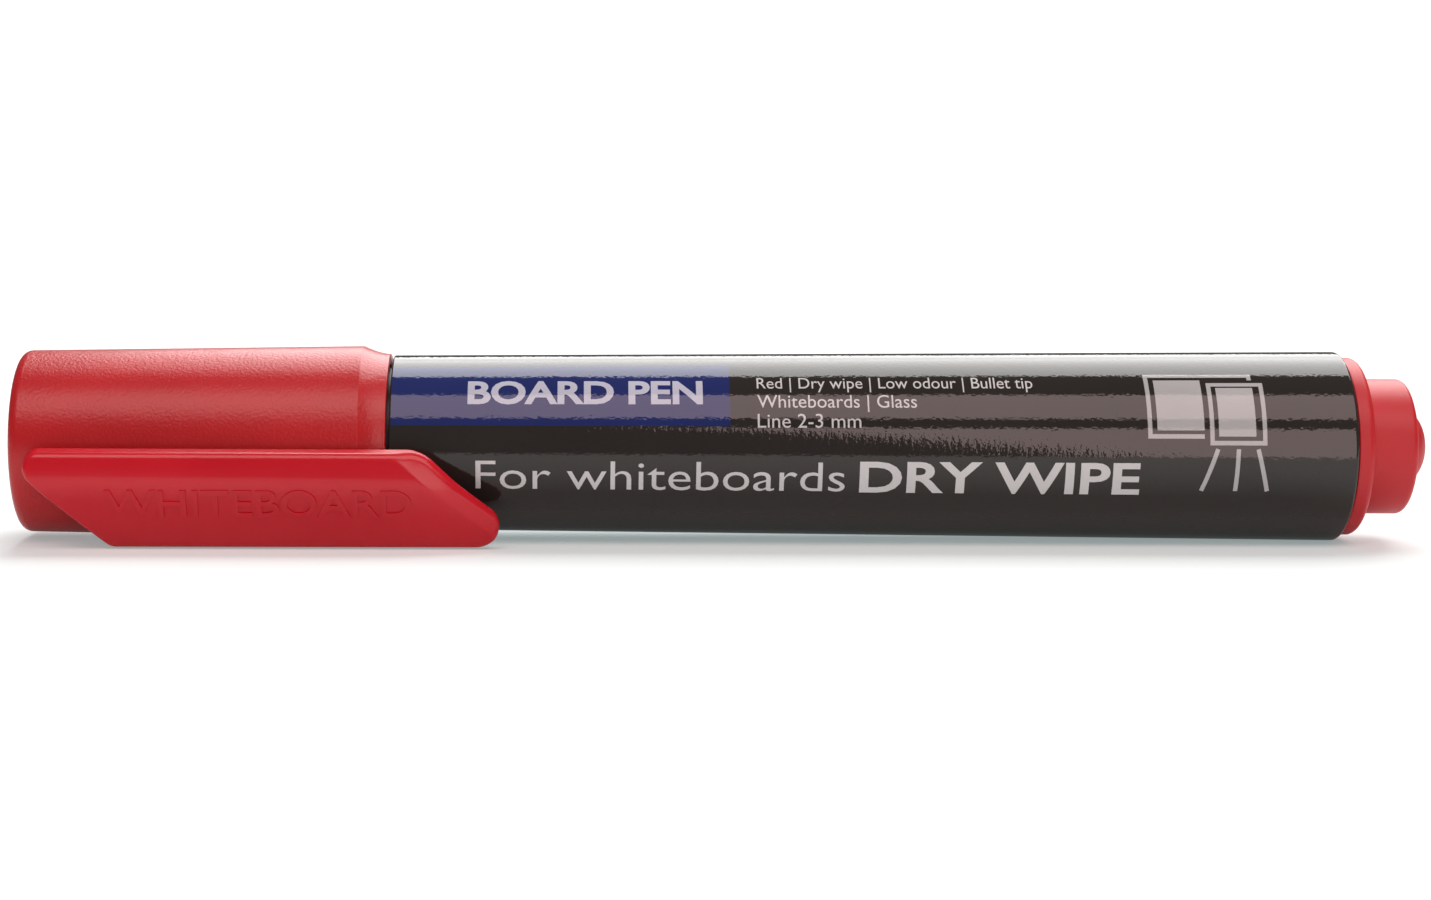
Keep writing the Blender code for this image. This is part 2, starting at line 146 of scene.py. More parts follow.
# %% Softboxes
STUDIO_RADIUS = 2.0
FRONT_START = -0.95  # this and the next two in metres along the marker, from its middle
OVERHEAD_START = -0.40
SOFTBOX_END = 1.35
WARM = (1.0, 0.77, 0.745)
NEUTRAL = (1.0, 0.99, 0.98)
SOFTBOXES = {  # left end, lowest and highest point in the sky, brightness, tint
    "overhead_near": (OVERHEAD_START, 101.0, 122.0, 5.1, NEUTRAL),
    "overhead_middle": (OVERHEAD_START, 122.0, 142.0, 5.2, NEUTRAL),
    "overhead_far": (OVERHEAD_START, 142.0, 158.5, 4.0, NEUTRAL),
    "front_high": (FRONT_START, 37.8, 70.2, 2.9, WARM),
}


def sky_point(x, degrees):
    """The point above the marker's middle line at this height in the sky, as far off as the softboxes."""
    angle = math.radians(degrees)
    return Vector((x, START.y - STUDIO_RADIUS * math.cos(angle), START.z + STUDIO_RADIUS * math.sin(angle)))


def softbox(name, left, low, high, brightness, tint):
    light = bpy.data.lights.new(name, "AREA")
    light.shape = "RECTANGLE"
    light.size = SOFTBOX_END - left
    light.size_y = 2 * STUDIO_RADIUS * math.tan(math.radians(high - low) / 2)
    light.energy = brightness * math.pi * light.size * light.size_y
    light.color = tint
    lamp = new_object(name, light)
    middle = (low + high) / 2
    lamp.location = sky_point((left + SOFTBOX_END) / 2, middle)
    lamp.rotation_euler = (math.radians(90 - middle), 0, 0)
    lamp.visible_camera = False


for name, facts in SOFTBOXES.items():
    softbox(name, *facts)
print("softboxes:", ", ".join(SOFTBOXES))

# %% [markdown]
# The low stripe on the tube's front fades out towards the cap along a slanted edge. That is the shape of
# what it mirrors: a glowing card cut to shape, from below the table's edge up to 26 degrees in the sky.

# %% Low card
LOW_CARD_END = 0.76
LOW_CARD_OUTLINE = [  # metres along the marker, height in the sky
    (0.02, 25.9),
    (0.06, 24.0),
    (0.16, 19.0),
    (0.30, 4.0),
    (0.42, -12.0),
    (LOW_CARD_END, -12.0),
    (LOW_CARD_END, 25.9),
]
LOW_CARD_BRIGHTNESS = 2.95


def glowing_card(name, outline, brightness, tint):
    mesh = bpy.data.meshes.new(name)
    corners = [sky_point(x, degrees) for x, degrees in outline]
    mesh.from_pydata(corners, [], [list(range(len(corners)))])
    material, tree, _ = new_material(name)
    tree.nodes.clear()
    glow = tree.nodes.new("ShaderNodeEmission")
    glow.inputs["Color"].default_value = (*tint, 1)
    glow.inputs["Strength"].default_value = brightness
    output = tree.nodes.new("ShaderNodeOutputMaterial")
    tree.links.new(glow.outputs[0], output.inputs["Surface"])
    mesh.materials.append(material)
    card = new_object(name, mesh)
    card.visible_camera = False
    card.visible_shadow = False


glowing_card("low_card", LOW_CARD_OUTLINE, LOW_CARD_BRIGHTNESS, WARM)
print("low card corners:", len(LOW_CARD_OUTLINE))

# %% [markdown]
# ## Floor and room
# The table is pale and matt. It also glows, which is painted light: the glow lifts the shadows on the table
# to a soft grey, the camera sees three times as much of it as the marker is given, and a cyan tint takes
# the cap's pink out of those shadows. It ends 7 cm in front of the marker, which draws the thin dark line
# low on the tube. The room beyond the softboxes is dim, so that the gaps between them read as black, but
# whoever looks straight at it sees white paper.

# %% Floor and room
FLOOR_FRONT = 68 * mm
FLOOR_BACK = 0.9
FLOOR_HALF_LENGTH = 0.85
FLOOR_TONE = 0.70
# The floor's glow is painted light that lightens its shadows, more for the camera than for the marker, and
# its cyan tint takes the pink out of them.
FLOOR_GLOW_GIVEN = 0.10  # what the glow gives the marker, and what the camera sees of it
FLOOR_GLOW_SEEN = 0.31
FLOOR_GLOW_TINT = (0.86, 1, 1, 1)
ROOM_GIVEN = (1, 0.97, 0.95, 1), 0.15  # tint and strength of the room, as light and as seen
ROOM_SEEN = (1, 1, 0.985, 1), 1.05


def make_floor():
    mesh = bpy.data.meshes.new("floor")
    side, front, back = FLOOR_HALF_LENGTH, START.y - FLOOR_FRONT, FLOOR_BACK
    corners = [(-side, front, 0), (side, front, 0), (side, back, 0), (-side, back, 0)]
    mesh.from_pydata(corners, [], [(0, 1, 2, 3)])
    material, tree, shader = new_material("floor_paper")
    nodes, links = tree.nodes, tree.links
    shader.inputs["Roughness"].default_value = 0.8
    shader.inputs["Specular IOR Level"].default_value = 0.1
    mottle = nodes.new("ShaderNodeTexNoise")
    mottle.inputs["Scale"].default_value = 9.0
    ramp = nodes.new("ShaderNodeValToRGB")
    ramp.color_ramp.elements[0].color = (FLOOR_TONE * 0.93, FLOOR_TONE * 0.98, FLOOR_TONE * 0.98, 1)
    ramp.color_ramp.elements[1].color = (FLOOR_TONE * 0.95, FLOOR_TONE, FLOOR_TONE, 1)
    links.new(mottle.outputs["Fac"], ramp.inputs["Fac"])
    links.new(ramp.outputs["Color"], shader.inputs["Base Color"])
    # Painted light: the floor glows, more strongly where the camera looks at it, which lightens the shadows
    # on it.
    rays = nodes.new("ShaderNodeLightPath")
    glow = nodes.new("ShaderNodeMath")
    glow.operation = "MULTIPLY_ADD"
    glow.inputs[1].default_value = FLOOR_GLOW_SEEN - FLOOR_GLOW_GIVEN
    glow.inputs[2].default_value = FLOOR_GLOW_GIVEN
    links.new(rays.outputs["Is Camera Ray"], glow.inputs[0])
    links.new(glow.outputs[0], shader.inputs["Emission Strength"])
    shader.inputs["Emission Color"].default_value = FLOOR_GLOW_TINT
    mesh.materials.append(material)
    new_object("floor", mesh)


def make_room():
    world = bpy.data.worlds.new("room")
    bpy.context.scene.world = world
    world.use_nodes = True
    nodes, links = world.node_tree.nodes, world.node_tree.links
    nodes.clear()
    rays = nodes.new("ShaderNodeLightPath")
    choose = nodes.new("ShaderNodeMixShader")
    output = nodes.new("ShaderNodeOutputWorld")
    links.new(rays.outputs["Is Camera Ray"], choose.inputs["Fac"])
    for place, (tint, tone) in enumerate((ROOM_GIVEN, ROOM_SEEN), start=1):
        background = nodes.new("ShaderNodeBackground")
        background.inputs["Color"].default_value = tint
        background.inputs["Strength"].default_value = tone
        links.new(background.outputs[0], choose.inputs[place])
    links.new(choose.outputs[0], output.inputs["Surface"])


make_floor()
make_room()
print(f"floor from {-FLOOR_FRONT / mm:.0f} mm in front to {FLOOR_BACK / mm:.0f} mm behind")

# %% [markdown]
# ## Finishes that several materials share
# Moulded plastic isn't smooth: the steel mould is sparked to a fine grain, and handling leaves faint smears
# that change the gloss. Both are node groups, so each plastic sets its own grain and wear.

# %% Group helper
def node_group(name, inputs, outputs):
    """An empty group of float sockets: inputs given with their defaults, and outputs."""
    tree = bpy.data.node_groups.new(name, "ShaderNodeTree")
    for label, default in inputs.items():
        socket = tree.interface.new_socket(label, in_out="INPUT", socket_type="NodeSocketFloat")
        socket.default_value = default
    for label in outputs:
        tree.interface.new_socket(label, in_out="OUTPUT", socket_type="NodeSocketFloat")
    return tree, tree.nodes.new("NodeGroupInput"), tree.nodes.new("NodeGroupOutput")


def math_node(tree, operation, first, second):
    """A math node whose two operands are sockets or plain numbers."""
    node = tree.nodes.new("ShaderNodeMath")
    node.operation = operation
    for socket, value in zip(node.inputs, (first, second)):
        if isinstance(value, (int, float)):
            socket.default_value = value
        else:
            tree.links.new(value, socket)
    return node.outputs[0]


def noise_node(tree, place, scale, detail=2.0, stretch=None):
    """Noise over the piece. scale is in cells per millimetre, stretch shrinks the cells along an axis."""
    if stretch:
        squeeze = tree.nodes.new("ShaderNodeVectorMath")
        squeeze.operation = "MULTIPLY"
        squeeze.inputs[1].default_value = stretch
        tree.links.new(place, squeeze.inputs[0])
        place = squeeze.outputs[0]
    node = tree.nodes.new("ShaderNodeTexNoise")
    node.inputs["Detail"].default_value = detail
    tree.links.new(place, node.inputs["Vector"])
    per_metre = 1 / mm
    if isinstance(scale, (int, float)):
        node.inputs["Scale"].default_value = scale * per_metre
    else:
        tree.links.new(math_node(tree, "MULTIPLY", scale, per_metre), node.inputs["Scale"])
    return node.outputs["Fac"]


print("group helpers ready")

# %% [markdown]
# The mould grain is two noises: the spark craters, and a slower unevenness under them. The smears are
# large, soft and few, which a power curve gives: most of the surface stays as it was moulded.

# %% Moulded plastic groups
def make_mould_grain():
    tree, given, result = node_group("mould_grain", {"Cells per mm": 4.0, "Slow Share": 0.3}, ["Height"])
    place = tree.nodes.new("ShaderNodeTexCoord").outputs["Object"]
    craters = noise_node(tree, place, given.outputs["Cells per mm"], detail=3.0)
    slow = noise_node(tree, place, 0.35)
    slow_part = math_node(tree, "MULTIPLY", slow, given.outputs["Slow Share"])
    tree.links.new(math_node(tree, "ADD", craters, slow_part), result.inputs["Height"])
    return tree


def make_handling():
    tree, given, result = node_group("handling", {"Roughness": 0.4, "Smear": 0.08}, ["Roughness", "Mask"])
    place = tree.nodes.new("ShaderNodeTexCoord").outputs["Object"]
    broad = noise_node(tree, place, 0.12, detail=3.0, stretch=(0.6, 1.0, 1.0))
    few = math_node(tree, "POWER", broad, 3.0)
    rise = math_node(tree, "MULTIPLY", few, given.outputs["Smear"])
    tree.links.new(math_node(tree, "ADD", rise, given.outputs["Roughness"]), result.inputs["Roughness"])
    tree.links.new(broad, result.inputs["Mask"])
    return tree


MOULD_GRAIN = make_mould_grain()
HANDLING = make_handling()
print("groups:", MOULD_GRAIN.name, HANDLING.name)

# %% [markdown]
# ## Plastics
# One function makes every moulded plastic: colour that drifts a little where the melt flowed, the grain as
# a bump, and the smears in the roughness. Red polypropylene lets some light into its wall, so the reds also
# scatter.

# %% Plastic materials
def place_group(tree, group, **values):
    node = tree.nodes.new("ShaderNodeGroup")
    node.node_tree = group
    for label, value in values.items():
        node.inputs[label.replace("_", " ")].default_value = value
    return node


def add_bump(tree, shader, height, distance):
    bump = tree.nodes.new("ShaderNodeBump")
    bump.inputs["Distance"].default_value = distance
    tree.links.new(height, bump.inputs["Height"])
    tree.links.new(bump.outputs["Normal"], shader.inputs["Normal"])


def drift(tree, shader, factor, dark, light):
    """Base colour between two tones, following a factor that changes over the surface."""
    ramp = tree.nodes.new("ShaderNodeValToRGB")
    for end, position, tone in zip(ramp.color_ramp.elements, (0.3, 0.7), (dark, light)):
        end.position, end.color = position, (*tone, 1)
    tree.links.new(factor, ramp.inputs["Fac"])
    tree.links.new(ramp.outputs["Color"], shader.inputs["Base Color"])


SCATTER_RADIUS = (1.0, 0.12, 0.1)
SCATTER_SCALE = 0.6 * mm


def plastic(name, dark, light, roughness, grain, depth, smear=0.08, scatter=0.0):
    """A moulded plastic. grain is in cells per millimetre and depth, its height, in metres."""
    material, tree, shader = new_material(name)
    grains = place_group(tree, MOULD_GRAIN, Cells_per_mm=grain)
    hands = place_group(tree, HANDLING, Roughness=roughness, Smear=smear)
    drift(tree, shader, hands.outputs["Mask"], dark, light)
    tree.links.new(hands.outputs["Roughness"], shader.inputs["Roughness"])
    add_bump(tree, shader, grains.outputs["Height"], depth)
    if scatter:
        shader.inputs["Subsurface Weight"].default_value = scatter
        shader.inputs["Subsurface Radius"].default_value = SCATTER_RADIUS
        shader.inputs["Subsurface Scale"].default_value = SCATTER_SCALE
    return material


CAP_RED = plastic(
    "cap_red", (0.47, 0.009, 0.013), (0.545, 0.013, 0.018), 0.28, 3.6, 0.036 * mm, smear=0.05, scatter=0.1
)
CLIP_RED = plastic("clip_red", (0.58, 0.006, 0.018), (0.64, 0.009, 0.023), 0.20, 3.0, 0.003 * mm, scatter=0.4)
PLUG_RED = plastic("plug_red", (0.53, 0.011, 0.018), (0.58, 0.015, 0.023), 0.42, 2.5, 0.003 * mm, scatter=0.3)
TUBE_BLACK = plastic("tube_black", (0.008, 0.008, 0.008), (0.011, 0.011, 0.010), 0.22, 3.0, 0.002 * mm)
HOLDER_BLACK = plastic("holder_black", (0.014, 0.014, 0.014), (0.020, 0.019, 0.019), 0.36, 3.0, 0.003 * mm)
LINER_WHITE = plastic("liner_white", (0.7, 0.69, 0.66), (0.78, 0.77, 0.75), 0.45, 2, 0.004 * mm, scatter=0.2)
print("plastics:", [m.name for m in (CAP_RED, CLIP_RED, PLUG_RED, TUBE_BLACK, HOLDER_BLACK, LINER_WHITE)])

# %% [markdown]
# ## The sleeve's gloss
# The printed sleeve is a thin film, shrunk onto the tube with heat. It is very glossy but keeps fine
# ripples round the tube, and they fray the edges of the light stripes. Film and inks share one group, so a
# stripe runs through the printing without a break.

# %% Sleeve materials
def make_film_ripple():
    tree, given, result = node_group("film_ripple", {"Fine Share": 1.0}, ["Height"])
    place = tree.nodes.new("ShaderNodeTexCoord").outputs["Object"]
    long_ripple = noise_node(tree, place, 1.1, detail=2.0, stretch=(2.2, 0.7, 0.7))
    fine = noise_node(tree, place, 2.8, detail=1.0, stretch=(1.0, 1.3, 1.3))
    fine_part = math_node(tree, "MULTIPLY", fine, given.outputs["Fine Share"])
    tree.links.new(math_node(tree, "ADD", long_ripple, fine_part), result.inputs["Height"])
    return tree


FILM_RIPPLE = make_film_ripple()
RIPPLE_DEPTH = 0.0095 * mm
FILM_ROUGHNESS = 0.045


def film_ink(name, dark, light):
    """Film or ink: one gloss and one ripple for all of them, and a tone that drifts a little."""
    material, tree, shader = new_material(name)
    ripple = place_group(tree, FILM_RIPPLE)
    hands = place_group(tree, HANDLING, Roughness=FILM_ROUGHNESS, Smear=0.05)
    drift(tree, shader, hands.outputs["Mask"], dark, light)
    tree.links.new(hands.outputs["Roughness"], shader.inputs["Roughness"])
    add_bump(tree, shader, ripple.outputs["Height"], RIPPLE_DEPTH)
    return material


FILM_BLACK = film_ink("film_black", (0.0225, 0.0192, 0.0172), (0.0262, 0.0225, 0.0200))
INK_BLUE = film_ink("ink_blue", (0.014, 0.024, 0.130), (0.017, 0.029, 0.147))
INK_WHITE = film_ink("ink_white", (0.50, 0.54, 0.65), (0.56, 0.60, 0.71))
INK_GREY = film_ink("ink_grey", (0.60, 0.62, 0.625), (0.68, 0.70, 0.705))
INK_LINES = film_ink("ink_lines", (0.43, 0.45, 0.455), (0.49, 0.51, 0.515))
print("sleeve finishes:", [m.name for m in (FILM_BLACK, INK_BLUE, INK_WHITE, INK_GREY, INK_LINES)])

# %% [markdown]
# ## Fibre
# The nib and the ink reservoir are both bundles of fine fibres that run along the marker. One group gives
# the streaks, and the two materials differ in how coarse and how wet they are.

# %% Fibre materials
def make_fibre():
    tree, given, result = node_group("fibre", {"Strands per mm": 8.0}, ["Height", "Strand"])
    place = tree.nodes.new("ShaderNodeTexCoord").outputs["Object"]
    strands = noise_node(tree, place, given.outputs["Strands per mm"], detail=3.0, stretch=(0.05, 1.0, 1.0))
    fuzz = noise_node(tree, place, 6.0, detail=1.0)
    sum_height = math_node(tree, "ADD", strands, math_node(tree, "MULTIPLY", fuzz, 0.3))
    tree.links.new(sum_height, result.inputs["Height"])
    tree.links.new(strands, result.inputs["Strand"])
    return tree


FIBRE = make_fibre()


def fibre(name, dark, light, roughness, strands, depth):
    material, tree, shader = new_material(name)
    bundle = place_group(tree, FIBRE, Strands_per_mm=strands)
    drift(tree, shader, bundle.outputs["Strand"], dark, light)
    add_bump(tree, shader, bundle.outputs["Height"], depth)
    shader.inputs["Roughness"].default_value = roughness
    shader.inputs["Sheen Weight"].default_value = 0.2
    return material


NIB_FELT = fibre("nib_felt", (0.24, 0.006, 0.010), (0.46, 0.020, 0.026), 0.75, 9.0, 0.03 * mm)
RESERVOIR_FELT = fibre("reservoir_felt", (0.30, 0.02, 0.03), (0.62, 0.16, 0.17), 0.9, 5.0, 0.06 * mm)


def make_clear_wrap():
    """The reservoir's own thin film: clear, faintly milky, with the sleeve's ripples."""
    material, tree, shader = new_material("clear_wrap")
    ripple = place_group(tree, FILM_RIPPLE, Fine_Share=0.2)
    hands = place_group(tree, HANDLING, Roughness=0.15, Smear=0.2)
    drift(tree, shader, hands.outputs["Mask"], (0.74, 0.72, 0.70), (0.84, 0.82, 0.80))
    tree.links.new(hands.outputs["Roughness"], shader.inputs["Roughness"])
    add_bump(tree, shader, ripple.outputs["Height"], RIPPLE_DEPTH)
    shader.inputs["Transmission Weight"].default_value = 0.7
    return material


CLEAR_WRAP = make_clear_wrap()
print("fibre finishes:", NIB_FELT.name, RESERVOIR_FELT.name, CLEAR_WRAP.name)

# %% [markdown]
# ## Turned pieces
# Cap, tube, sleeve, plug, holder and nib are round, so each is an outline spun about the marker's axis. An
# outline is a short list of corners: a station, a radius, and how much the corner is rounded. Nothing
# moulded has a knife edge, and the small roundings draw the fine bright lines along the edges.

# %% Outlines
ARC_STEPS = 6
EDGE_RING = 0.08 * mm


def rounded(corners, steps=ARC_STEPS):
    """The points of an outline whose corners, given as (first, second, rounding), become arcs."""
    points = []
    for i, (first, second, rounding) in enumerate(corners):
        here = Vector((first, second))
        if not rounding:
            points.append(here)
            continue
        back = (Vector(corners[i - 1][:2]) - here).normalized()
        on = (Vector(corners[(i + 1) % len(corners)][:2]) - here).normalized()
        half = back.angle(on) / 2
        middle = here + (back + on).normalized() * rounding / math.sin(half)
        reach = rounding / math.tan(half)
        start, end = (here + way * reach - middle for way in (back, on))
        angle = math.atan2(start.y, start.x)
        sweep = (math.atan2(end.y, end.x) - angle + math.pi) % (2 * math.pi) - math.pi
        for step in range(steps + 1):
            turn = angle + sweep * step / steps
            points.append(middle + rounding * Vector((math.cos(turn), math.sin(turn))))
    return points


def with_edge_rings(points, closed):
    """Adds a ring near both ends of each long run, which keeps the shading along the run straight."""
    result = []
    for i, start in enumerate(points):
        result.append(start)
        if i + 1 == len(points) and not closed:
            break
        end = points[(i + 1) % len(points)]
        run = (end - start).length
        if run > 8 * EDGE_RING:
            result.append(start.lerp(end, EDGE_RING / run))
            result.append(end.lerp(start, EDGE_RING / run))
    return result


print("arc steps for each rounded corner:", ARC_STEPS)

# %% [markdown]
# Spinning is done by hand in bmesh, so that a ring of points can shrink to one point on the axis. One
# function makes each piece's object, and says which body the piece rides on, which finish it takes, and
# which of the frame's nodes it stands in for.

# %% Spin and make the object
COLUMNS = 192
SHARP_ANGLE = math.radians(32)


def axis_point(station, radius, turn):
    """A point by its station, its distance from the axis, and its turn above level in front."""
    return START + Vector((station, -radius * math.cos(turn), radius * math.sin(turn)))


def turned(outline):
    """A bmesh of an outline spun about the axis: closed if it starts on the axis, else joined into a tube."""
    tube = outline[0].y > 0
    bm = bmesh.new()
    rings = []
    for station, radius in with_edge_rings(outline, tube):
        count = COLUMNS if radius > 0 else 1
        turns = (2 * math.pi * i / COLUMNS for i in range(count))
        rings.append([bm.verts.new(axis_point(station, radius, turn)) for turn in turns])
    following = rings[1:] + (rings[:1] if tube else [])
    for first, second in zip(rings, following):
        for i in range(COLUMNS):
            j = (i + 1) % COLUMNS
            corners = ((first, i), (second, i), (second, j), (first, j))
            bm.faces.new(list(dict.fromkeys(ring[k % len(ring)] for ring, k in corners)))
    bmesh.ops.recalc_face_normals(bm, faces=bm.faces)
    return bm


def make_piece(name, bm, material, body, slot, *nodes):
    """The object of a finished bmesh, riding on its body and standing in for the frame's nodes."""
    mesh = bpy.data.meshes.new(name)
    bm.to_mesh(mesh)
    bm.free()
    mesh.shade_smooth()
    mesh.set_sharp_from_angle(angle=SHARP_ANGLE)
    mesh.materials.append(material)
    piece = new_object(name, mesh)
    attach(piece, body)
    if nodes:
        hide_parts(*nodes)
    print(f"{name}: {len(mesh.polygons)} faces on {body}")
    return piece


print("columns round each turned piece:", COLUMNS)

# %% [markdown]
# A few pieces aren't only round: the cap has a slot for the clip's foot, the tube has ribs, the holder has
# vents. Those are blocks joined or cut with an exact Boolean, given in three directions of their own: along
# the marker, across, and out from the axis.

# %% Blocks and Booleans
def add_block(bm, low, high, up, out):
    """A box between two corners given as (station, distance along up, distance along out)."""
    box = bmesh.ops.create_cube(bm, size=1.0)["verts"]
    low, high = Vector(low), Vector(high)
    for vertex in box:
        share = vertex.co + Vector((0.5, 0.5, 0.5))
        station, rise, reach = (low[i] + (high[i] - low[i]) * share[i] for i in range(3))
        vertex.co = START + Vector((station, 0, 0)) + up * rise + out * reach


def combined(bm, blocks, operation):
    """The bmesh after one Boolean with a set of blocks."""
    shapes = []
    for part in (bm, blocks):
        bmesh.ops.recalc_face_normals(part, faces=part.faces)
        mesh = bpy.data.meshes.new("shape")
        part.to_mesh(mesh)
        part.free()
        shapes.append(new_object("shape", mesh))
    modifier = shapes[0].modifiers.new("combine", "BOOLEAN")
    modifier.operation = operation
    modifier.object = shapes[1]
    modifier.solver = "EXACT"
    ready = shapes[0].evaluated_get(bpy.context.evaluated_depsgraph_get())
    result = bmesh.new()
    result.from_mesh(ready.to_mesh())
    ready.to_mesh_clear()
    for shape in shapes:
        bpy.data.meshes.remove(shape.data)
    return result


def cut(bm, place, normal):
    """Cuts a whole bmesh along a plane, and keeps both sides."""
    bmesh.ops.bisect_plane(bm, geom=[*bm.verts, *bm.edges, *bm.faces], plane_co=place, plane_no=normal)


def spokes(count):
    """The up and out directions of evenly spaced spokes round the axis, the first at 45 degrees."""
    for i in range(count):
        turn = math.pi * (0.25 + 2 * i / count)
        out = Vector((0, -math.cos(turn), math.sin(turn)))
        yield Vector((0, -out.z, out.y)), out


print("blocks ready")

# %% [markdown]
# ## Cap
# The cap is a cup with a little flare, so that it leaves its mould. Its shoulder is hollow-ground, which is
# where the light catches the rim. On the closed end sits a shallow dimple.

# %% Cap
GAP = 0.3 * mm
CAP_END_RADIUS = REST_RADIUS - 0.6 * mm
CAP_SHOULDER = CAP_RIM - 2.6 * mm
CAP_RIM_RADIUS = REST_RADIUS - 0.75 * mm
CAP_FLOOR = 1.5 * mm
CAP_BORE_DEEP = 7.45 * mm
CAP_BORE_MOUTH = 7.75 * mm
DIMPLE_RADIUS = 2.2 * mm
DIMPLE_DEPTH = 0.25 * mm
HINGE = Vector(hinge["pos_m"]) - START
FOOT_START = HINGE.x - 1.6 * mm
FOOT_END = HINGE.x + 7.4 * mm
FOOT_HALF_WIDTH = 1.2 * mm
FOOT_ROOT = 8.1 * mm
CLIP_FACE = 12.0 * mm
SHOULDER_STEPS = 8


def cap_outline():
    corners = [
        (DIMPLE_DEPTH, 0, 0),
        (DIMPLE_DEPTH, DIMPLE_RADIUS, 0.1 * mm),
        (0, DIMPLE_RADIUS + 0.2 * mm, 0.1 * mm),
        (0, CAP_END_RADIUS, 0.9 * mm),
        (CAP_SHOULDER, REST_RADIUS, 0.12 * mm),
    ]
    drop = REST_RADIUS - CAP_RIM_RADIUS
    for step in range(1, SHOULDER_STEPS):
        share = step / SHOULDER_STEPS
        station = CAP_SHOULDER + share * (CAP_RIM - CAP_SHOULDER)
        corners.append((station, REST_RADIUS - drop * (1 - (1 - share) ** 1.7), 0))
    corners += [
        (CAP_RIM, CAP_RIM_RADIUS, 0.12 * mm),
        (CAP_RIM, CAP_BORE_MOUTH, 0.15 * mm),
        (CAP_FLOOR, CAP_BORE_DEEP, 0.5 * mm),
        (CAP_FLOOR, 0, 0),
    ]
    return rounded(corners)


def make_cap():
    slot = bmesh.new()
    half = FOOT_HALF_WIDTH + GAP
    low = (FOOT_START - GAP, -half, CAP_BORE_DEEP - 1 * mm)
    add_block(slot, low, (FOOT_END + GAP, half, CLIP_FACE), PLATE_UP, PLATE_OUT)
    shell = combined(turned(cap_outline()), slot, "DIFFERENCE")
    make_piece("cap_moulding", shell, CAP_RED, "cap", "cap_red", "cap_shell")


make_cap()

# %% [markdown]
# ## Tube, sleeve and tail plug
# The tube is drafted too, wider at the tail. The sleeve covers its whole length, and its ends are shrunk
# over the tube's rounded rims. The plug closes the tail: a flange, a post that the cap can be parked on,
# and a domed button.

# %% Tube and sleeve
TUBE_FRONT_RADIUS = 8.49 * mm
SLEEVE_THICKNESS = 0.25 * mm
SLEEVE_GAP = 0.1 * mm
TUBE_BORE_FRONT = 7.3 * mm
TUBE_BORE_REAR = 7.9 * mm
COUNTERBORE = 8.0 * mm
COUNTERBORE_DEPTH = 1.2 * mm
FRONT_RIM = 0.16 * mm
REAR_RIM = 0.35 * mm
RIM_SETBACK = 0.08 * mm
LIP = 0.02 * mm
RIB_START = 50 * mm
RIB_END = 116 * mm
RIB_HALF_WIDTH = 0.45 * mm
RIB_FOOT = 6.9 * mm
RIB_BASE = TUBE_BORE_FRONT + 0.55 * mm


def tube_radius(station):
    """Outer radius of the tube and of the sleeve on it."""
    share = (station - BARREL_FRONT) / (BARREL_REAR - BARREL_FRONT)
    return TUBE_FRONT_RADIUS + share * (REST_RADIUS - TUBE_FRONT_RADIUS)


def tube_outline():
    recess = SLEEVE_THICKNESS + SLEEVE_GAP
    front, rear = BARREL_FRONT + RIM_SETBACK, BARREL_REAR - RIM_SETBACK
    return rounded([
        (front, tube_radius(front) - recess, FRONT_RIM / 2),
        (rear, tube_radius(rear) - recess, REAR_RIM / 2),
        (rear, TUBE_BORE_REAR, 0.1 * mm),
        (BARREL_FRONT + COUNTERBORE_DEPTH, TUBE_BORE_FRONT, 0),
        (BARREL_FRONT + COUNTERBORE_DEPTH, COUNTERBORE, 0),
        (front, COUNTERBORE, 0.03 * mm),
    ])


def make_tube():
    ribs = bmesh.new()
    for up, out in spokes(4):
        low = (RIB_START, -RIB_HALF_WIDTH, RIB_FOOT)
        add_block(ribs, low, (RIB_END, RIB_HALF_WIDTH, RIB_BASE), up, out)
    tube = combined(turned(tube_outline()), ribs, "UNION")
    make_piece("barrel_tube", tube, TUBE_BLACK, "barrel", "barrel_black", "barrel")


def make_sleeve():
    front, rear = tube_radius(BARREL_FRONT), tube_radius(BARREL_REAR)
    front_lip, rear_lip = front - FRONT_RIM - LIP, rear - REAR_RIM - LIP
    sleeve = turned(rounded([
        (BARREL_FRONT, front, FRONT_RIM),
        (BARREL_REAR, rear, REAR_RIM),
        (BARREL_REAR, rear_lip, 0),
        (BARREL_REAR - RIM_SETBACK / 2, rear_lip, 0),
        (BARREL_REAR - REAR_RIM, rear - SLEEVE_THICKNESS, 0),
        (BARREL_FRONT + FRONT_RIM, front - SLEEVE_THICKNESS, 0),
        (BARREL_FRONT + RIM_SETBACK / 2, front_lip, 0),
        (BARREL_FRONT, front_lip, 0),
    ]))
    make_piece("printed_sleeve", sleeve, FILM_BLACK, "barrel", "film_black", "label_film")


make_tube()
make_sleeve()

# %% [markdown]
# The plug's button is a quarter of an ellipse, spun.

# %% Tail plug
PLUG_RADIUS = 7.55 * mm
PLUG_BORE = 6.4 * mm
BEAD_STATION = 125.6 * mm
FLANGE_FRONT = BARREL_REAR + 0.12 * mm
FLANGE_REAR = 130.5 * mm
FLANGE_RADIUS = 8.81 * mm
POST_RADIUS = 6.7 * mm
POST_REAR = 135.4 * mm
POST_BORE = 5.3 * mm
PLUG_WALL = 1.3 * mm
BUTTON_RADIUS = 3.8 * mm
BUTTON_TOP = TAIL - 0.25 * mm
BUTTON_STEPS = 14


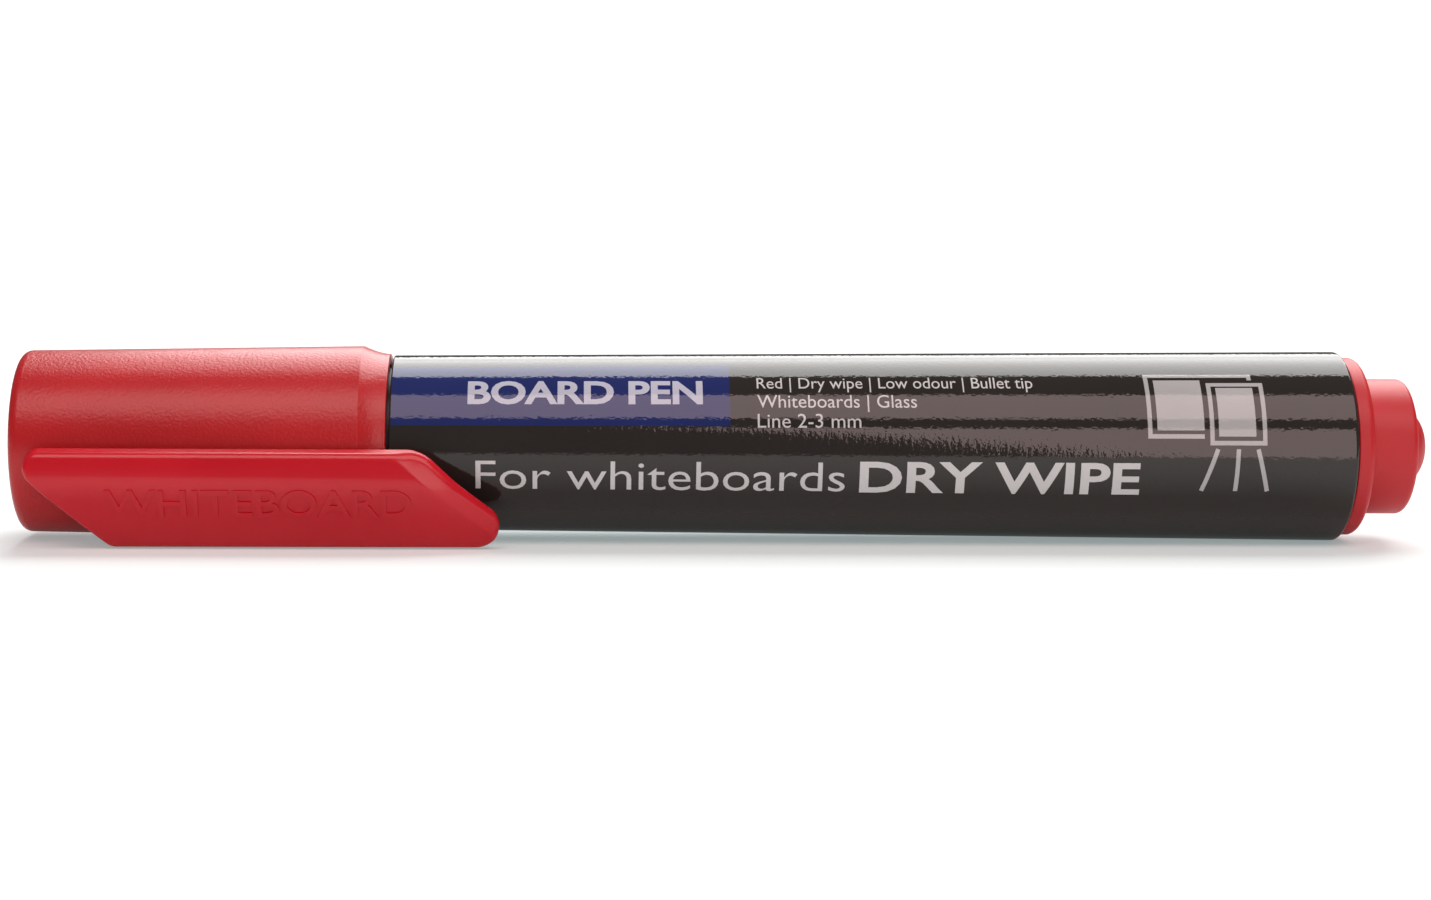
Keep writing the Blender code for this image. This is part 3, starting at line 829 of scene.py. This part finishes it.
def plug_outline():
    corners = [
        (POST_REAR - PLUG_WALL, 0, 0),
        (POST_REAR - PLUG_WALL, POST_BORE, 0.3 * mm),
        (FLANGE_REAR - PLUG_WALL, POST_BORE, 0.2 * mm),
        (FLANGE_REAR - PLUG_WALL, PLUG_BORE, 0.2 * mm),
        (PLUG_FRONT, PLUG_BORE, 0.1 * mm),
        (PLUG_FRONT, PLUG_RADIUS - 0.2 * mm, 0.3 * mm),
        (PLUG_FRONT + 0.8 * mm, PLUG_RADIUS, 0.2 * mm),
        (BEAD_STATION - 0.5 * mm, PLUG_RADIUS, 0),
        (BEAD_STATION, PLUG_RADIUS + 0.15 * mm, 0),
        (BEAD_STATION + 0.5 * mm, PLUG_RADIUS, 0),
        (FLANGE_FRONT, PLUG_RADIUS, 0),
        (FLANGE_FRONT, FLANGE_RADIUS, 0.12 * mm),
        (FLANGE_REAR, FLANGE_RADIUS, 0.65 * mm),
        (FLANGE_REAR, POST_RADIUS, 0.12 * mm),
        (POST_REAR, POST_RADIUS, 0.6 * mm),
        (POST_REAR, BUTTON_RADIUS, 0),
    ]
    outline = rounded(corners)
    height = BUTTON_TOP - POST_REAR
    for step in range(1, BUTTON_STEPS):
        turn = math.pi / 2 * step / BUTTON_STEPS
        outline.append(Vector((POST_REAR + height * math.sin(turn), BUTTON_RADIUS * math.cos(turn))))
    return outline + [Vector((BUTTON_TOP, 0))]


make_piece("tail_plug_moulding", turned(plug_outline()), PLUG_RED, "barrel", "plug_red", "tail_plug")

# %% [markdown]
# ## Under the cap
# With the cap off, three pieces show: the white inner cap that seals the nib, the black holder with its
# vents, and the bullet nib. The reservoir and its wrap never show, so their frame nodes stay and only get
# their materials.

# %% Nib and its holder
NIB_RADIUS = 2.5 * mm
NIB_BULLET = 3.6 * mm
NIB_STEPS = 16
NOSE_FRONT, SPIGOT_REAR = stations("nib_holder")
NECK_RADIUS = 7.3 * mm
NECK_BEAD = 31.4 * mm
COLLAR_FRONT = BARREL_FRONT + 0.1 * mm
COLLAR_RADIUS = 7.75 * mm
NOSE_TIP_RADIUS = 3.35 * mm
NOSE_RADIUS = 4.2 * mm
SPIGOT_RADIUS = 7.0 * mm
SPIGOT_BORE = 5.8 * mm
VENT_HALF_WIDTH = 0.7 * mm
VENT_FROM, VENT_TO = NIB_RADIUS - 0.12 * mm, NIB_RADIUS + 0.58 * mm


def nib_outline():
    points = []
    for step in range(NIB_STEPS + 1):
        turn = math.pi / 2 * step / NIB_STEPS
        points.append(Vector((NIB_TIP + NIB_BULLET * (1 - math.cos(turn)), NIB_RADIUS * math.sin(turn))))
    return points + [Vector((NIB_REAR, NIB_RADIUS)), Vector((NIB_REAR, 0))]


def holder_outline():
    nib_bore = NIB_RADIUS + GAP
    return rounded([
        (NOSE_FRONT, nib_bore, 0.1 * mm),
        (NOSE_FRONT, NOSE_TIP_RADIUS, 0.15 * mm),
        (NOSE_FRONT + 2 * mm, NOSE_RADIUS, 0.3 * mm),
        (NOSE_FRONT + 8 * mm, NOSE_RADIUS, 0.25 * mm),
        (NOSE_FRONT + 10.4 * mm, NECK_RADIUS, 0.5 * mm),
        (NECK_BEAD - 0.7 * mm, NECK_RADIUS, 0.1 * mm),
        (NECK_BEAD, NECK_RADIUS + 0.2 * mm, 0.3 * mm),
        (NECK_BEAD + 0.7 * mm, NECK_RADIUS, 0.1 * mm),
        (COLLAR_FRONT, NECK_RADIUS, 0.05 * mm),
        (COLLAR_FRONT, COLLAR_RADIUS, 0.08 * mm),
        (COLLAR_FRONT + 0.9 * mm, COLLAR_RADIUS, 0),
        (COLLAR_FRONT + 0.9 * mm, SPIGOT_RADIUS, 0),
        (SPIGOT_REAR, SPIGOT_RADIUS, 0.2 * mm),
        (SPIGOT_REAR, SPIGOT_BORE, 0),
        (NECK_BEAD + 1.6 * mm, SPIGOT_BORE, 0),
        (NECK_BEAD + 1.6 * mm, nib_bore, 0),
    ])


def make_holder():
    vents = bmesh.new()
    for up, out in spokes(4):
        low = (NOSE_FRONT - 1 * mm, -VENT_HALF_WIDTH, VENT_FROM)
        add_block(vents, low, (NECK_BEAD + 2.6 * mm, VENT_HALF_WIDTH, VENT_TO), up, out)
    holder = combined(turned(holder_outline()), vents, "DIFFERENCE")
    make_piece("nib_holder_moulding", holder, HOLDER_BLACK, "barrel", "holder_black", "nib_holder")


make_piece("bullet_nib", turned(nib_outline()), NIB_FELT, "barrel", "nib_fibre", "nib")
make_holder()

# %% [markdown]
# The inner cap is a cup that seals round the holder's nose. Its flange centres it in the cap.

# %% Inner cap and the hidden pieces
LINER_START, LINER_MOUTH = stations("inner_cap")
LINER_BORE = 4.5 * mm
LINER_RADIUS = 5.4 * mm
LINER_FLANGE_RADIUS = 7.3 * mm
HIDDEN = {"ink_reservoir": RESERVOIR_FELT, "reservoir_wrap": CLEAR_WRAP}


def liner_outline():
    flange_front = LINER_MOUTH - 1.2 * mm
    return rounded([
        (LINER_START, 0, 0),
        (LINER_START, LINER_RADIUS, 0.5 * mm),
        (flange_front, LINER_RADIUS, 0.2 * mm),
        (flange_front, LINER_FLANGE_RADIUS, 0.15 * mm),
        (LINER_MOUTH, LINER_FLANGE_RADIUS, 0.15 * mm),
        (LINER_MOUTH, LINER_BORE + 0.4 * mm, 0.15 * mm),
        (LINER_MOUTH - 0.8 * mm, LINER_BORE, 0.1 * mm),
        (LINER_START + 1.3 * mm, LINER_BORE, 0.3 * mm),
        (LINER_START + 1.3 * mm, 0, 0),
    ])


make_piece("inner_cap_cup", turned(liner_outline()), LINER_WHITE, "inner_cap", "liner_white", "inner_cap")
for node, material in HIDDEN.items():
    for place in frame["nodes"][node].material_slots:
        place.material = material
    print(node, "keeps its frame solid, in", material.name)

# %% [markdown]
# ## Clip
# The clip is a leaning parallelogram, slightly crowned, bent back towards the cap along its upper edge, and
# sloping away in a facet along the slanted tip. It is built flat, as a stack of outlines from the cheek
# round the edge to the outer face. The whole plate is then bent, and the outer face alone drops in the
# facet.

# %% Clip outline and face
CLIP_HALF_WIDTH = 5.1 * mm
CLIP_TOP = 4.42 * mm
CLIP_THICKNESS = 1.3 * mm
CLIP_EDGE = 0.46 * mm
CLIP_CROWN = 0.3 * mm
HEEL_SLANT = math.radians(45)
TIP_SLANT = math.radians(40.5)
FACET_WIDTH = 1.7 * mm
FACET_DEPTH = 0.62 * mm
FACET_SOFTNESS = 0.12 * mm
ROLL_START = 1.6 * mm
ROLL_SLOPE = 0.42
ROLL_SOFTNESS = 0.4 * mm
CHEEK_EDGE = 0.12 * mm
EDGE_STEPS = 5
CLIP_ARC_STEPS = 14
CLIP_LEFT, CLIP_RIGHT = stations("clip")
NOSE_ROUND = 1.35 * mm
TIP_ROUND = 2.25 * mm
HEEL_ROUND = 1.5 * mm
SHOULDER_ROUND = 4.0 * mm


def clip_corners(inset=0.0):
    """Corners of the plate as (station, height, rounding), each side drawn in by the inset."""
    top, bottom = CLIP_TOP - inset, inset - CLIP_HALF_WIDTH
    tip_sharp, heel_sharp = 1 / math.tan(TIP_SLANT / 2), 1 / math.tan(HEEL_SLANT / 2)
    lower_right = CLIP_RIGHT + TIP_ROUND * (tip_sharp - 1) - inset * tip_sharp
    upper_left = CLIP_LEFT - NOSE_ROUND * (heel_sharp - 1) + inset * heel_sharp
    return [
        (lower_right, bottom, TIP_ROUND - inset),
        (lower_right - (top - bottom) / math.tan(TIP_SLANT), top, SHOULDER_ROUND - inset),
        (upper_left, top, NOSE_ROUND - inset),
        (upper_left + (top - bottom) / math.tan(HEEL_SLANT), bottom, HEEL_ROUND - inset),
    ]


TIP_CORNER = Vector(clip_corners()[0][:2])
TIP_INWARD = Vector((-math.sin(TIP_SLANT), -math.cos(TIP_SLANT)))


def bend(height):
    """How far the whole plate is bent inwards at this height, by its crown and the roll of its upper edge."""
    crown = CLIP_CROWN * (height / CLIP_HALF_WIDTH) ** 2
    past_roll = height - ROLL_START
    return crown + ROLL_SLOPE * (past_roll + math.hypot(past_roll, ROLL_SOFTNESS)) / 2


def facet(station, height):
    """How far the outer face drops in the facet along the tip, with its softened crease."""
    past_crease = FACET_WIDTH - (Vector((station, height)) - TIP_CORNER).dot(TIP_INWARD)
    return FACET_DEPTH / FACET_WIDTH * (past_crease + math.hypot(past_crease, FACET_SOFTNESS)) / 2


print(f"clip from station {CLIP_LEFT / mm:.1f} to {CLIP_RIGHT / mm:.1f} mm")

# %% [markdown]
# The plate is first cut into a grid: level lines, close enough to follow the bend, and a few lines along
# the crease. Its foot is a block, joined on with a Boolean, that passes through the slot in the cap.

# %% Clip
FACE_LINES = 16
CREASE_LINES = (0.4, 0.75, 0.9, 1.0, 1.1, 1.25, 1.6)  # as a share of the facet's width


def plate_point(station, height, out):
    return START + Vector((station, 0, 0)) + PLATE_UP * height + PLATE_OUT * out


def cut_plate(bm):
    """Cuts the flat plate, still in (station, height, out), into the grid that the bend and facet need."""
    for line in range(1, FACE_LINES):
        cut(bm, (0, CLIP_HALF_WIDTH * (2 * line / FACE_LINES - 1), 0), (0, 1, 0))
    for share in CREASE_LINES:
        cut(bm, (TIP_CORNER + TIP_INWARD * FACET_WIDTH * share).to_3d(), TIP_INWARD.to_3d())


def plate_layers():
    """Depths below the outer face, and how far the outline is drawn in there, from the cheek outwards."""
    layers = [(CLIP_THICKNESS, CHEEK_EDGE), (CLIP_THICKNESS - CHEEK_EDGE, 0), (CLIP_EDGE + 0.05 * mm, 0)]
    for step in range(EDGE_STEPS + 1):
        turn = math.pi / 2 * step / EDGE_STEPS
        layers.append((CLIP_EDGE * (1 - math.sin(turn)), CLIP_EDGE * (1 - math.cos(turn))))
    return layers


def make_clip():
    bm = bmesh.new()
    loops = []
    for depth, inset in plate_layers():
        outline = rounded(clip_corners(inset), CLIP_ARC_STEPS)
        loops.append([bm.verts.new((*point, -depth)) for point in outline])
    count = len(loops[0])
    for lower, upper in zip(loops, loops[1:]):
        for i in range(count):
            j = (i + 1) % count
            bm.faces.new((lower[i], lower[j], upper[j], upper[i]))
    bm.faces.new(loops[0])
    bm.faces.new(loops[-1])
    cut_plate(bm)
    for vertex in bm.verts:
        station, height, depth = vertex.co
        outer_share = 1 + (depth + CLIP_EDGE) / (CLIP_THICKNESS - CHEEK_EDGE - CLIP_EDGE)
        drop = facet(station, height) * min(max(outer_share, 0.0), 1.0)
        vertex.co = plate_point(station, height, CLIP_FACE + depth - bend(height) - drop)
    foot = bmesh.new()
    low = (FOOT_START, -FOOT_HALF_WIDTH, FOOT_ROOT)
    add_block(foot, low, (FOOT_END, FOOT_HALF_WIDTH, CLIP_FACE - CLIP_THICKNESS / 2), PLATE_UP, PLATE_OUT)
    plate = combined(bm, foot, "UNION")
    make_piece("clip_moulding", plate, CLIP_RED, "clip", "clip_red", "clip")


make_clip()

# %% [markdown]
# ## Lettering
# All lettering is real geometry, made from text curves, and it says only what kind of pen this is. A
# curve's offset makes the letters bolder. They are scaled to the height of their capitals and to the length
# of their line, then cut across at small steps so that they can be bent round the tube.

# %% Flat lettering
CAPITAL_SHARE = 0.729  # height of a capital in the letters' own size


def flat_letters(text, capital, length, weight=0.0, smoothness=4):
    """Letters in a plane as a bmesh: the foot line at 0, capitals this tall, and the line this long."""
    curve = bpy.data.curves.new(text, "FONT")
    curve.body = text
    curve.offset = weight
    curve.resolution_u = smoothness
    writer = new_object(text, curve)
    mesh = bpy.data.meshes.new_from_object(writer.evaluated_get(bpy.context.evaluated_depsgraph_get()))
    bm = bmesh.new()
    bm.from_mesh(mesh)
    bpy.data.curves.remove(curve)
    bpy.data.meshes.remove(mesh)
    places = [vertex.co.x for vertex in bm.verts]
    left, right = min(places), max(places)
    tall = capital / CAPITAL_SHARE
    for vertex in bm.verts:
        vertex.co.x = (vertex.co.x - left) * length / (right - left)
        vertex.co.y *= tall
    bmesh.ops.remove_doubles(bm, verts=bm.verts, dist=0.002 * mm)
    bmesh.ops.dissolve_limit(bm, angle_limit=0.001, verts=bm.verts, edges=bm.edges)
    return bm


def thicken(bm, low, high):
    """Turns a flat bmesh into a closed shell between two levels."""
    for vertex in bm.verts:
        vertex.co.z = low
    grown = bmesh.ops.extrude_face_region(bm, geom=bm.faces[:])["geom"]
    for vertex in (item for item in grown if isinstance(item, bmesh.types.BMVert)):
        vertex.co.z = high
    bmesh.ops.recalc_face_normals(bm, faces=bm.faces)


print("lettering helpers ready")

# %% [markdown]
# The word on the clip stands up in low relief, as if cut into the mould. Its letters sink a little into the
# plate and follow its face.

# %% Relief on the clip
RELIEF_WORD = "WHITEBOARD"
RELIEF_START = 9.5 * mm
RELIEF_LENGTH = 28.5 * mm
RELIEF_FOOT = -1.35 * mm
RELIEF_CAPITAL = 2.9 * mm
RELIEF_HEIGHT = 0.13 * mm
RELIEF_SINK = 0.04 * mm
RELIEF_WEIGHT = 0.012


def make_relief():
    bm = flat_letters(RELIEF_WORD, RELIEF_CAPITAL, RELIEF_LENGTH, RELIEF_WEIGHT, smoothness=8)
    thicken(bm, -RELIEF_SINK, RELIEF_HEIGHT)
    for vertex in bm.verts:
        station, height = RELIEF_START + vertex.co.x, RELIEF_FOOT + vertex.co.y
        face = CLIP_FACE - bend(height) - facet(station, height)
        vertex.co = plate_point(station, height, face + vertex.co.z)
    make_piece("clip_relief_word", bm, CLIP_RED, "clip", "clip_red")


make_relief()

# %% [markdown]
# ## Printing on the sleeve
# Ink is a thin layer, yet it has edges and it hides what is under it, so each print is a closed shell a
# hundredth or two of a millimetre thick. It is drawn flat, as station and distance round the tube, and then
# wrapped. Its normals are set to the tube's own, so that a reflection crosses film and ink as one surface.

# %% Wrapping
PRINT_RADIUS = 8.9 * mm  # the radius at which a distance round the tube is true
PRINT_SINK = 0.006 * mm
PRINT_RISE = 0.010 * mm
WRAP_STEP = 0.45 * mm


def round_the_tube(degrees):
    """The distance round the tube of a height given in degrees above level in front."""
    return math.radians(degrees) * PRINT_RADIUS


def make_print(name, bm, ink, start=0.0, foot=0.0, rise=PRINT_RISE):
    """Wraps a flat bmesh onto the sleeve, moved to a station and a distance round the tube."""
    bmesh.ops.translate(bm, verts=bm.verts, vec=(start, foot, 0))
    heights = [vertex.co.y for vertex in bm.verts]
    lowest, highest = min(heights), max(heights)
    for line in range(1, math.ceil((highest - lowest) / WRAP_STEP)):
        cut(bm, (0, lowest + line * WRAP_STEP, 0), (0, 1, 0))
    thicken(bm, -PRINT_SINK, rise)
    for vertex in bm.verts:
        station, around, level = vertex.co
        vertex.co = axis_point(station, tube_radius(station) + level, around / PRINT_RADIUS)
    piece = make_piece(name, bm, ink, "barrel", "film_black")
    outward = [Vector((0, v.co.y - START.y, v.co.z - START.z)).normalized() for v in piece.data.vertices]
    piece.data.normals_split_custom_set_from_vertices(outward)
    return piece


print(f"ink stands {PRINT_RISE / mm:.3f} mm above the sleeve")

# %% [markdown]
# The design is a blue panel with white words next to the cap, three small lines, a large title lower down,
# and a pictogram of a wall board with an easel. Heights are in degrees round the tube.

# %% Panel, lines and title
def add_panel(bm, left, right, low, high):
    """A flat rectangle between two stations and two heights in degrees."""
    low, high = round_the_tube(low), round_the_tube(high)
    corners = [(left, low, 0), (right, low, 0), (right, high, 0), (left, high, 0)]
    bm.faces.new([bm.verts.new(corner) for corner in corners])


def print_line(name, text, ink, start, end, foot, top, weight=0.0):
    """A line of lettering between two stations, with its foot line and its capitals' top in degrees."""
    capital = round_the_tube(top - foot)
    letters = flat_letters(text, capital, end - start, weight)
    return make_print(name, letters, ink, start, round_the_tube(foot))


PANEL_RIGHT = 68.1 * mm
PANEL_LOW, PANEL_HIGH = 16.4, 64.0
PANEL_RISE = 0.006 * mm
SMALL_LINES = [  # text, end station, foot line and capitals' top in degrees
    ("Red | Dry wipe | Low odour | Bullet tip", 97.3 * mm, 42.4, 51.8),
    ("Whiteboards | Glass", 86.0 * mm, 28.6, 38.0),
    ("Line 2-3 mm", 80.6 * mm, 15.6, 25.0),
]
panel = bmesh.new()
add_panel(panel, BARREL_FRONT + FRONT_RIM, PANEL_RIGHT, PANEL_LOW, PANEL_HIGH)
make_print("print_blue_panel", panel, INK_BLUE, rise=PANEL_RISE)
print_line("print_panel_word", "BOARD PEN", INK_WHITE, 43.1 * mm, 65.5 * mm, 31.5, 49.0, weight=0.03)
for number, (text, end, foot, top) in enumerate(SMALL_LINES, start=1):
    print_line(f"print_small_line_{number}", text, INK_GREY, 70.7 * mm, end, foot, top)
print_line("print_title_thin", "For whiteboards", INK_GREY, 43.9 * mm, 79.1 * mm, -25.0, -4.5, weight=-0.004)
print_line("print_title_bold", "DRY WIPE", INK_GREY, 80.5 * mm, 107.5 * mm, -25.0, -4.5, weight=0.022)

# %% [markdown]
# The pictogram is made of two filled panels and of strokes: bands of one width along a line of points,
# mitred at the corners.

# %% Pictogram
def flat_stroke(bm, points, width, closed=False):
    """A mitred band along points given as (station, distance round the tube)."""
    points = [Vector(point) for point in points]
    count = len(points)
    pairs = []
    for i, here in enumerate(points):
        before = points[i - 1] if closed or i else here
        after = points[(i + 1) % count] if closed or i + 1 < count else here
        ways = [(end - start).normalized() for start, end in ((before, here), (here, after)) if end != start]
        side = sum((Vector((-way.y, way.x)) for way in ways), Vector((0, 0))).normalized()
        reach = width / 2 / side.dot(Vector((-ways[0].y, ways[0].x)))
        pairs.append([bm.verts.new((*(here + side * reach * sign), 0)) for sign in (1, -1)])
    for i in range(count if closed else count - 1):
        first, second = pairs[i], pairs[(i + 1) % count]
        bm.faces.new((first[0], second[0], second[1], first[1]))


STROKE = 0.42 * mm
FILLED = [(109.05, 113.6, 14.6, 48.6), (115.0, 118.6, 11.0, 42.6)]  # millimetres, then degrees
BOARD = [(113.6, 11.0), (108.35, 11.0), (108.35, 52.2), (118.45, 52.2), (118.45, 48.6)]
EASEL = [(114.35, 7.1), (119.45, 7.1), (119.45, 45.0), (114.35, 45.0)]
LEGS = [[(top, 3.5), (foot, -22.5)] for top, foot in ((114.9, 113.5), (116.9, 116.8), (118.8, 119.9))]


def make_pictogram():
    bm = bmesh.new()
    for left, right, low, high in FILLED:
        add_panel(bm, left * mm, right * mm, low, high)
    for line in (BOARD, EASEL, *LEGS):
        points = [(station * mm, round_the_tube(degrees)) for station, degrees in line]
        flat_stroke(bm, points, STROKE, closed=line is EASEL)
    make_print("print_pictogram", bm, INK_LINES)


make_pictogram()

# %% [markdown]
# At the back the sleeve laps over itself, and the lap shows as a fine straight step.

# %% Sleeve lap
LAP_LOW, LAP_HIGH = 196.0, 211.0
LAP_RISE = 0.035 * mm
lap = bmesh.new()
add_panel(lap, BARREL_FRONT + FRONT_RIM, BARREL_REAR - REAR_RIM, LAP_LOW, LAP_HIGH)
make_print("sleeve_lap", lap, FILM_BLACK, rise=LAP_RISE)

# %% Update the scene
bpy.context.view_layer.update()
